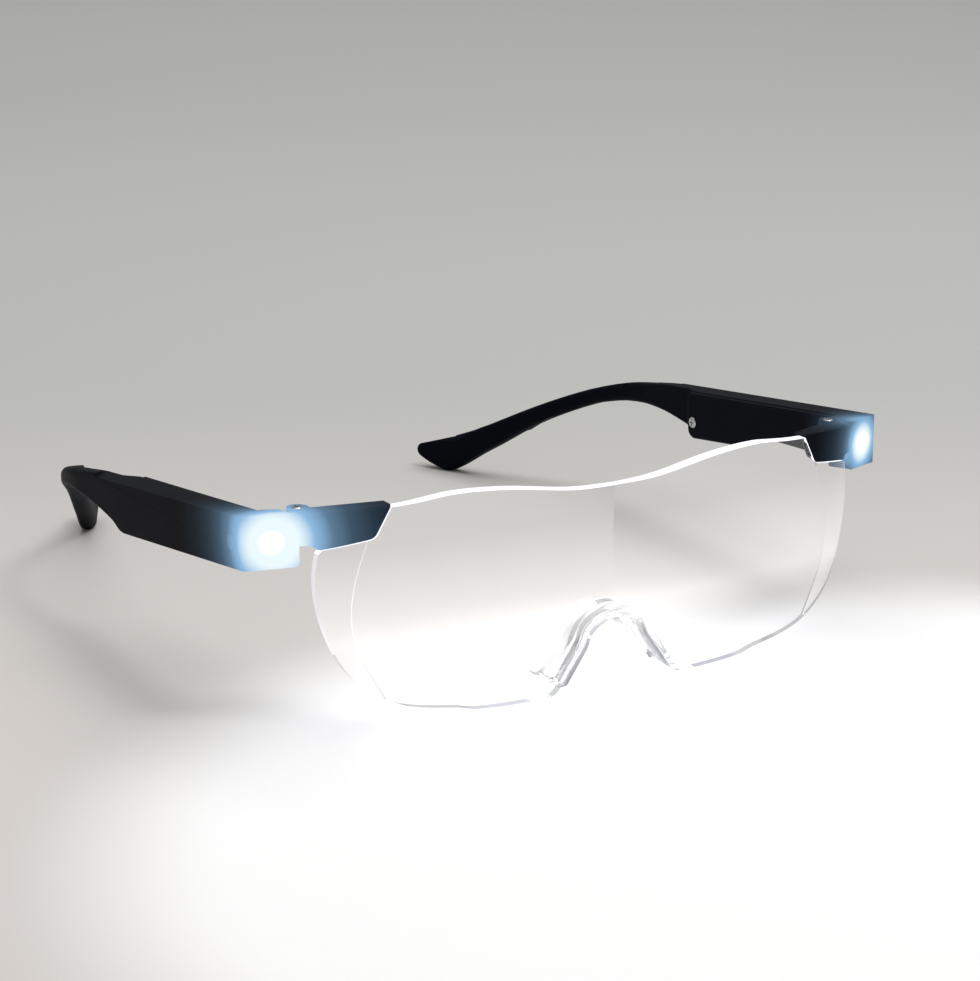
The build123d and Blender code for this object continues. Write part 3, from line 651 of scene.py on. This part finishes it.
def painted_lamp_spill(place):
    """Nearness to a lamp for its painted light, from 0 at its reach to 1 in its middle, alike on both
    sides.
    """
    name = "Lamp spill"
    if name in bpy.data.node_groups:
        return bpy.data.node_groups[name]
    group, source, result = node_group(
        name,
        [("Reach", "NodeSocketFloat", 20 * MM)],
        [("Share", "NodeSocketFloat")],
    )
    nodes, links = group.nodes, group.links
    coordinates = nodes.new("ShaderNodeTexCoord")
    folded = nodes.new("ShaderNodeVectorMath")
    folded.operation = "ABSOLUTE"
    links.new(coordinates.outputs["Object"], folded.inputs[0])
    gap = nodes.new("ShaderNodeVectorMath")
    gap.operation = "DISTANCE"
    gap.inputs[1].default_value = [abs(value) for value in place]
    links.new(folded.outputs["Vector"], gap.inputs[0])
    near = nodes.new("ShaderNodeMapRange")
    near.interpolation_type = "SMOOTHERSTEP"
    near.inputs["From Max"].default_value = 0
    links.new(gap.outputs["Value"], near.inputs["Value"])
    links.new(source.outputs["Reach"], near.inputs["From Min"])
    shaped = nodes.new("ShaderNodeMath")
    shaped.operation = "POWER"
    shaped.inputs[1].default_value = SPILL_FALL
    links.new(near.outputs["Result"], shaped.inputs[0])
    links.new(shaped.outputs[0], result.inputs["Share"])
    return group


def satin_plastic(name, color, roughness, grain_size, spill=None, reach=0):
    """Moulded plastic with fine grain, faint handling marks and, where asked for, lamp light painted on it
    as emission.
    """
    if name in bpy.data.materials:
        return bpy.data.materials[name]
    material, tree, shader = new_material(name)
    grain = add_group(tree, moulded_grain(), {"Size": grain_size})
    marks = add_group(tree, handling_marks(), {"Roughness": roughness, "Strength": MARKS_DEPTH})
    toned(tree, shader, color, grain.outputs["Tone"], TONE_SPREAD)
    tree.links.new(marks.outputs["Roughness"], shader.inputs["Roughness"])
    bumped(tree, shader, grain.outputs["Height"], GRAIN_RELIEF, 0.02 * MM)
    shader.inputs["Specular IOR Level"].default_value = PLASTIC_SHINE
    shader.inputs["Specular Tint"].default_value = PLASTIC_SHINE_TINT
    # Painted light: emission ramped by nearness to the lamp stands for its light falling on the plastic.
    if spill:
        light = add_group(tree, painted_lamp_spill(spill.lamp_place), {"Reach": reach})
        lit = tree.nodes.new("ShaderNodeValToRGB")
        far, core = lit.color_ramp.elements
        far.color = (0, 0, 0, 1)
        core.position, core.color = SPILL_CORE
        for share, strength in SPILL_STEPS:
            step = lit.color_ramp.elements.new(share)
            step.color = (*[strength * channel for channel in spill.painted_spill_color], 1)
        tree.links.new(light.outputs["Share"], lit.inputs["Fac"])
        tree.links.new(lit.outputs["Color"], shader.inputs["Emission Color"])
        shader.inputs["Emission Strength"].default_value = 1
    return material


def clear_plastic(name, tint, roughness, ior, marks_depth=0.0, glow=None, alpha=1.0):
    """Clear plastic or silicone with a faint shadow and, where asked for, a painted glow that goes by
    height.
    """
    if name in bpy.data.materials:
        return bpy.data.materials[name]
    material, tree, shader = new_material(name)
    # Painted light: emission graded by height stands for lamp light caught in the clear piece, which is no
    # lamp.
    if glow:
        place = tree.nodes.new("ShaderNodeTexCoord")
        height = tree.nodes.new("ShaderNodeSeparateXYZ")
        tree.links.new(place.outputs["Object"], height.inputs["Vector"])
        rise = tree.nodes.new("ShaderNodeMath")
        rise.operation = "DIVIDE"
        rise.inputs[1].default_value = GLOW_HEIGHT
        tree.links.new(height.outputs["Z"], rise.inputs[0])
        ramp = tree.nodes.new("ShaderNodeValToRGB")
        first, last = ramp.color_ramp.elements
        first.position, first.color = glow[0][0], (*glow[0][1], 1)
        last.position, last.color = glow[-1][0], (*glow[-1][1], 1)
        for share, color in glow[1:-1]:
            ramp.color_ramp.elements.new(share).color = (*color, 1)
        tree.links.new(rise.outputs[0], ramp.inputs["Fac"])
        tree.links.new(ramp.outputs["Color"], shader.inputs["Emission Color"])
        shader.inputs["Emission Strength"].default_value = 1
    shader.inputs["Base Color"].default_value = (*tint, 1)
    shader.inputs["Transmission Weight"].default_value = 1
    shader.inputs["Alpha"].default_value = alpha
    shader.inputs["IOR"].default_value = ior
    shader.inputs["Roughness"].default_value = roughness
    if marks_depth:
        marks = add_group(tree, handling_marks(), {"Roughness": roughness, "Strength": marks_depth})
        tree.links.new(marks.outputs["Roughness"], shader.inputs["Roughness"])
    light_path = tree.nodes.new("ShaderNodeLightPath")
    passing = tree.nodes.new("ShaderNodeBsdfTransparent")
    passing.inputs["Color"].default_value = (*[SHADOW_PASS * channel for channel in tint], 1)
    mix = tree.nodes.new("ShaderNodeMixShader")
    tree.links.new(light_path.outputs["Is Shadow Ray"], mix.inputs["Fac"])
    tree.links.new(shader.outputs["BSDF"], mix.inputs[1])
    tree.links.new(passing.outputs["BSDF"], mix.inputs[2])
    tree.links.new(mix.outputs["Shader"], tree.nodes["Material Output"].inputs["Surface"])
    return material


def plain_metal(name, color, roughness):
    """Small metal piece with turning marks."""
    if name in bpy.data.materials:
        return bpy.data.materials[name]
    material, tree, shader = new_material(name)
    grain = add_group(tree, moulded_grain(), {"Size": 0.2 * MM})
    marks = add_group(tree, handling_marks(), {"Roughness": roughness, "Strength": 0.2})
    toned(tree, shader, color, grain.outputs["Tone"], 0.1)
    shader.inputs["Metallic"].default_value = 1
    tree.links.new(marks.outputs["Roughness"], shader.inputs["Roughness"])
    bumped(tree, shader, grain.outputs["Height"], 0.1, 0.005 * MM)
    return material


def glowing_lamp(name, color, strength):
    """Lit lamp dome."""
    if name in bpy.data.materials:
        return bpy.data.materials[name]
    material, tree, shader = new_material(name)
    place = tree.nodes.new("ShaderNodeTexCoord")
    cells = tree.nodes.new("ShaderNodeTexVoronoi")
    cells.inputs["Scale"].default_value = 1500
    tree.links.new(place.outputs["Object"], cells.inputs["Vector"])
    toned(tree, shader, (0.9, 0.95, 1.0), cells.outputs["Distance"], 0.05)
    shader.inputs["Roughness"].default_value = 0.15
    shader.inputs["Emission Color"].default_value = (*color, 1)
    shader.inputs["Emission Strength"].default_value = strength
    return material


def traced_board(name, color, trace_color):
    """Coated board with rows of copper traces under the coat."""
    if name in bpy.data.materials:
        return bpy.data.materials[name]
    material, tree, shader = new_material(name)
    place = tree.nodes.new("ShaderNodeTexCoord")
    rows = tree.nodes.new("ShaderNodeTexBrick")
    rows.inputs["Scale"].default_value = 1 / TRACE_SPACING
    rows.inputs["Mortar Size"].default_value = 0.06
    rows.inputs["Color1"].default_value = (*color, 1)
    rows.inputs["Color2"].default_value = (*[1.2 * channel for channel in color], 1)
    rows.inputs["Mortar"].default_value = (*trace_color, 1)
    turn = tree.nodes.new("ShaderNodeMapping")
    turn.inputs["Rotation"].default_value = (0, math.radians(90), 0)
    tree.links.new(place.outputs["Object"], turn.inputs["Vector"])
    tree.links.new(turn.outputs["Vector"], rows.inputs["Vector"])
    tree.links.new(rows.outputs["Color"], shader.inputs["Base Color"])
    shader.inputs["Roughness"].default_value = 0.3
    bumped(tree, shader, rows.outputs["Fac"], 0.3, 0.03 * MM)
    return material


def lens_part(face, ridge):
    """Which material a face of the lens has: 0 for clear with a faint painted glow, 1 for the top rim with
    a bright painted glow, 2 for a side with a violet painted glow, 3 for the foot.
    """
    lean = abs(face.normal.y)
    if lean < EDGE_LEAN and face.normal.z > UPWARD:
        return 1
    if lean < SIDE_LEAN and face.normal.z > -UPWARD and abs(face.center.x) > ridge:
        return 2
    if lean < EDGE_LEAN and face.center.z < FOOT_TOP:
        return 3
    return 0


def spill_reach(finish, side):
    """How far one side's lamp light spills."""
    return finish.left_spill_reach if side == "left" else finish.right_spill_reach


class GLASSES_OT_lens(Operator):
    """Clear lens with a polished rim, and painted light glowing in its faces, rim and sides"""

    bl_idname = "glasses.lens"
    bl_label = "Lens"

    def execute(self, context):
        finish = context.scene.glasses_finish
        tint = finish.lens_edge_tint
        # Painted light: the clear faces, the top rim and the sides glow by height, standing for lamp light
        # caught in the acrylic.
        clear = clear_plastic("clear_lens", finish.lens_tint, 0.0, ACRYLIC_IOR, glow=VEIL_PAINTED_GLOW)
        clear.node_tree.nodes["Principled BSDF"].inputs["Specular IOR Level"].default_value = 0.2
        rim = clear_plastic("lens_rim", tint, 0.05, ACRYLIC_IOR, glow=RIM_PAINTED_GLOW)
        side = clear_plastic("lens_side", tint, 0.05, ACRYLIC_IOR, glow=SIDE_PAINTED_GLOW, alpha=0.14)
        foot = clear_plastic("lens_foot", tint, 0.05, ACRYLIC_IOR, alpha=0.6)
        lens = merged_copy("lens", "lens_moulding", flat=0.001)
        exact_normals(lens, "lens")
        paint(lens, clear, rim, side, foot)
        for face in lens.data.polygons:
            face.material_index = lens_part(face, finish.ridge_inner)
        show(lens, "front")
        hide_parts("lens")
        return {"FINISHED"}


class GLASSES_OT_nose_piece(Operator):
    """Soft clear saddle with rounded edges and a faint even painted glow"""

    bl_idname = "glasses.nose_piece"
    bl_label = "Nose piece"

    def execute(self, context):
        finish = context.scene.glasses_finish
        saddle = merged_copy("nose_piece", "nose_saddle")
        show(saddle, "front")
        remesh = saddle.modifiers.new("Soften", "REMESH")
        remesh.mode = "VOXEL"
        remesh.voxel_size = finish.silicone_voxel
        remesh.use_smooth_shade = True
        smooth = saddle.modifiers.new("Round", "SMOOTH")
        smooth.factor = 0.5
        smooth.iterations = 4
        tint = finish.silicone_tint
        # Painted light: the silicone glows faintly all over, standing for light caught in it.
        paint(saddle, clear_plastic("soft_silicone", tint, 0.12, SILICONE_IOR, 0.1, glow=SADDLE_PAINTED_GLOW))
        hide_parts("nose_piece")
        return {"FINISHED"}


class GLASSES_OT_temples(Operator):
    """Black temples with their covers and end pieces"""

    bl_idname = "glasses.temples"
    bl_label = "Temples, covers and end pieces"

    def execute(self, context):
        finish = context.scene.glasses_finish
        for side in SIDES:
            # Each side gets its own material only for the lamp light painted on it; the right side's
            # painted light reaches further.
            black = satin_plastic(
                f"satin_black_{side}",
                finish.plastic_color,
                finish.plastic_roughness,
                finish.grain_size,
                spill=finish,
                reach=spill_reach(finish, side),
            )
            moulded(f"{side}_temple_shell", finish.plastic_edge, black, temple=finish)
            moulded(f"{side}_end_piece", finish.trim_edge, black)
            moulded(f"{side}_inner_cover", finish.trim_edge, black)
        return {"FINISHED"}


class GLASSES_OT_screws(Operator):
    """Steel screws and charge sockets"""

    bl_idname = "glasses.screws"
    bl_label = "Screws and sockets"

    def execute(self, context):
        finish = context.scene.glasses_finish
        steel = plain_metal("turned_steel", finish.steel_color, 0.28)
        for node in ["hinge_screws", "lens_screws"]:
            paint(frame["nodes"][node], steel)
        for side in SIDES:
            for piece in ["cover_screw", "charge_socket"]:
                paint(frame["nodes"][f"{side}_{piece}"], steel)
        return {"FINISHED"}


class GLASSES_OT_buttons(Operator):
    """Power buttons and their switches"""

    bl_idname = "glasses.buttons"
    bl_label = "Buttons"

    def execute(self, context):
        finish = context.scene.glasses_finish
        body = satin_plastic("switch_black", (0.02, 0.02, 0.02), 0.5, finish.grain_size)
        for side in SIDES:
            # The caps carry the same painted lamp light as the temples.
            cap = satin_plastic(
                f"button_black_{side}",
                finish.plastic_color,
                0.3,
                0.5 * finish.grain_size,
                spill=finish,
                reach=spill_reach(finish, side),
            )
            paint(frame["nodes"][f"{side}_power_button"], cap)
            paint(frame["nodes"][f"{side}_switch_plunger"], cap)
            paint(frame["nodes"][f"{side}_switch_body"], body)
        return {"FINISHED"}


class GLASSES_OT_lamps(Operator):
    """Lit lamp domes over their chips and boards"""

    bl_idname = "glasses.lamps"
    bl_label = "Lamps"

    def execute(self, context):
        finish = context.scene.glasses_finish
        dome = glowing_lamp("lit_dome", finish.lamp_color, finish.lamp_strength)
        chip = glowing_lamp("lit_chip", finish.lamp_color, finish.lamp_strength)
        board = satin_plastic("white_board", (0.82, 0.82, 0.8), 0.4, finish.grain_size)
        for side in SIDES:
            paint(frame["nodes"][f"{side}_led_dome"], dome)
            paint(frame["nodes"][f"{side}_led_chip"], chip)
            paint(frame["nodes"][f"{side}_led_board"], board)
        return {"FINISHED"}


class GLASSES_OT_electronics(Operator):
    """Boards, chips, cells and leads inside the temples"""

    bl_idname = "glasses.electronics"
    bl_label = "Boards and cells"

    def execute(self, context):
        finish = context.scene.glasses_finish
        board = traced_board("green_board", (0.015, 0.13, 0.05), (0.1, 0.3, 0.12))
        chip = satin_plastic("chip_black", (0.02, 0.02, 0.022), 0.45, finish.grain_size)
        sleeve = satin_plastic("cell_wrap", (0.3, 0.33, 0.38), 0.25, 2 * finish.grain_size)
        leads = satin_plastic("lead_sleeve", (0.55, 0.04, 0.03), 0.4, finish.grain_size)
        for side in SIDES:
            paint(frame["nodes"][f"{side}_circuit_board"], board)
            paint(frame["nodes"][f"{side}_controller_chip"], chip)
            paint(frame["nodes"][f"{side}_battery"], sleeve)
            paint(frame["nodes"][f"{side}_battery_leads"], leads)
            paint(frame["nodes"][f"{side}_led_leads"], leads)
        return {"FINISHED"}


class GLASSES_OT_stage(Operator):
    """Pale floor, soft light and the camera"""

    bl_idname = "glasses.stage"
    bl_label = "Stage"

    def execute(self, context):
        stage = context.scene.glasses_stage
        self.floor(stage)
        self.light(context, stage)
        self.camera(context, stage)
        context.scene.view_settings.view_transform = "Standard"
        return {"FINISHED"}

    def floor(self, stage):
        """A wide floor whose colour changes with distance to paint how it is lit, with a painted pool of
        light in front.
        """
        bm = bmesh.new()
        bmesh.ops.create_grid(bm, x_segments=1, y_segments=1, size=stage.floor_reach)
        mesh = bpy.data.meshes.new("floor")
        bm.to_mesh(mesh)
        bm.free()
        floor = bpy.data.objects.new("floor", mesh)
        bpy.context.scene.collection.objects.link(floor)
        material, tree, shader = new_material("studio_floor")
        place = tree.nodes.new("ShaderNodeTexCoord")
        # Painted light and shade: the floor's colour is graded along the view, lighter or darker as the
        # light falls.
        along = tree.nodes.new("ShaderNodeVectorMath")
        along.operation = "DOT_PRODUCT"
        view = Vector(stage.camera_target) - Vector(stage.camera_place)
        view.z = 0
        along.inputs[1].default_value = view.normalized()
        tree.links.new(place.outputs["Object"], along.inputs[0])
        fade = tree.nodes.new("ShaderNodeMapRange")
        fade.inputs["From Min"].default_value, fade.inputs["From Max"].default_value = FLOOR_FADE
        tree.links.new(along.outputs["Value"], fade.inputs["Value"])
        ramp = tree.nodes.new("ShaderNodeValToRGB")
        ramp.color_ramp.interpolation = "EASE"
        ramp.color_ramp.elements[0].color = (*stage.floor_near_color, 1)
        ramp.color_ramp.elements[1].color = (*stage.floor_far_color, 1)
        for share in FLOOR_MIDDLE:
            ramp.color_ramp.elements.new(share).color = (*stage.floor_middle_color, 1)
        tree.links.new(fade.outputs["Result"], ramp.inputs["Fac"])
        # Painted light: a soft ellipse of the pool colour paints the lamps' light onto the floor.
        off = tree.nodes.new("ShaderNodeVectorMath")
        off.operation = "SUBTRACT"
        off.inputs[1].default_value = stage.pool_place
        tree.links.new(place.outputs["Object"], off.inputs[0])
        part = tree.nodes.new("ShaderNodeVectorMath")
        part.operation = "DIVIDE"
        part.inputs[1].default_value = stage.pool_reach
        tree.links.new(off.outputs["Vector"], part.inputs[0])
        reach = tree.nodes.new("ShaderNodeVectorMath")
        reach.operation = "LENGTH"
        tree.links.new(part.outputs["Vector"], reach.inputs[0])
        edge = tree.nodes.new("ShaderNodeMapRange")
        edge.interpolation_type = "SMOOTHSTEP"
        edge.inputs["From Min"].default_value, edge.inputs["From Max"].default_value = POOL_EDGE
        tree.links.new(reach.outputs["Value"], edge.inputs["Value"])
        mix = tree.nodes.new("ShaderNodeMix")
        mix.data_type = "RGBA"
        mix.inputs["B"].default_value = (*stage.painted_pool_color, 1)
        tree.links.new(edge.outputs["Result"], mix.inputs["Factor"])
        tree.links.new(ramp.outputs["Color"], mix.inputs["A"])
        tree.links.new(mix.outputs["Result"], shader.inputs["Base Color"])
        shader.inputs["Roughness"].default_value = 0.9
        shader.inputs["Specular IOR Level"].default_value = 0.1
        paint(floor, material)

    def light(self, context, stage):
        """Even light all round, one large lamp overhead and a smaller one in front."""
        world = bpy.data.worlds.new("studio")
        world.use_nodes = True
        world.node_tree.nodes["Background"].inputs["Strength"].default_value = stage.ambient
        world.node_tree.nodes["Background"].inputs["Color"].default_value = (1, 1, 1, 1)
        context.scene.world = world
        for (name, size, location), power in ((OVERHEAD, stage.overhead_power), (KEY, stage.key_power)):
            data = bpy.data.lights.new(name, "AREA")
            data.shape = "RECTANGLE"
            data.size, data.size_y = size
            data.energy = power
            lamp = bpy.data.objects.new(name, data)
            lamp.location = location
            lamp.rotation_euler = (-Vector(location)).to_track_quat("-Z", "Y").to_euler()
            context.scene.collection.objects.link(lamp)

    def camera(self, context, stage):
        """Camera at the photograph's place."""
        data = bpy.data.cameras.new("camera")
        data.sensor_width = CAMERA_SENSOR
        data.lens = stage.focal_length
        data.clip_start, data.clip_end = CAMERA_CLIP
        camera = bpy.data.objects.new("camera", data)
        place = Vector(stage.camera_place)
        turn = (Vector(stage.camera_target) - place).to_track_quat("-Z", "Y").to_matrix().to_4x4()
        roll = Matrix.Rotation(stage.camera_roll, 4, "Z")
        camera.matrix_world = Matrix.Translation(place) @ turn @ roll
        context.scene.collection.objects.link(camera)
        context.scene.camera = camera


STEPS = (
    GLASSES_OT_lens,
    GLASSES_OT_nose_piece,
    GLASSES_OT_temples,
    GLASSES_OT_screws,
    GLASSES_OT_buttons,
    GLASSES_OT_lamps,
    GLASSES_OT_electronics,
    GLASSES_OT_stage,
)


class GLASSES_PT_panel(Panel):
    """Buttons that make each group of pieces"""

    bl_idname = "GLASSES_PT_panel"
    bl_label = "Magnifier glasses"
    bl_space_type = "VIEW_3D"
    bl_region_type = "UI"
    bl_category = "Glasses"

    def draw(self, context):
        for settings in (context.scene.glasses_finish, context.scene.glasses_stage):
            for name in settings.__annotations__:
                self.layout.prop(settings, name)
        for step in STEPS:
            self.layout.operator(step.bl_idname)


CLASSES = (GlassesFinish, GlassesStage, *STEPS, GLASSES_PT_panel)


def register():
    for item in CLASSES:
        bpy.utils.register_class(item)
    bpy.types.Scene.glasses_finish = PointerProperty(type=GlassesFinish)
    bpy.types.Scene.glasses_stage = PointerProperty(type=GlassesStage)


def unregister():
    del bpy.types.Scene.glasses_stage
    del bpy.types.Scene.glasses_finish
    for item in reversed(CLASSES):
        bpy.utils.unregister_class(item)


def main():
    register()
    bpy.ops.glasses.lens()
    bpy.ops.glasses.nose_piece()
    bpy.ops.glasses.temples()
    bpy.ops.glasses.screws()
    bpy.ops.glasses.buttons()
    bpy.ops.glasses.lamps()
    bpy.ops.glasses.electronics()
    bpy.ops.glasses.stage()


if __name__ == "__main__":
    main()
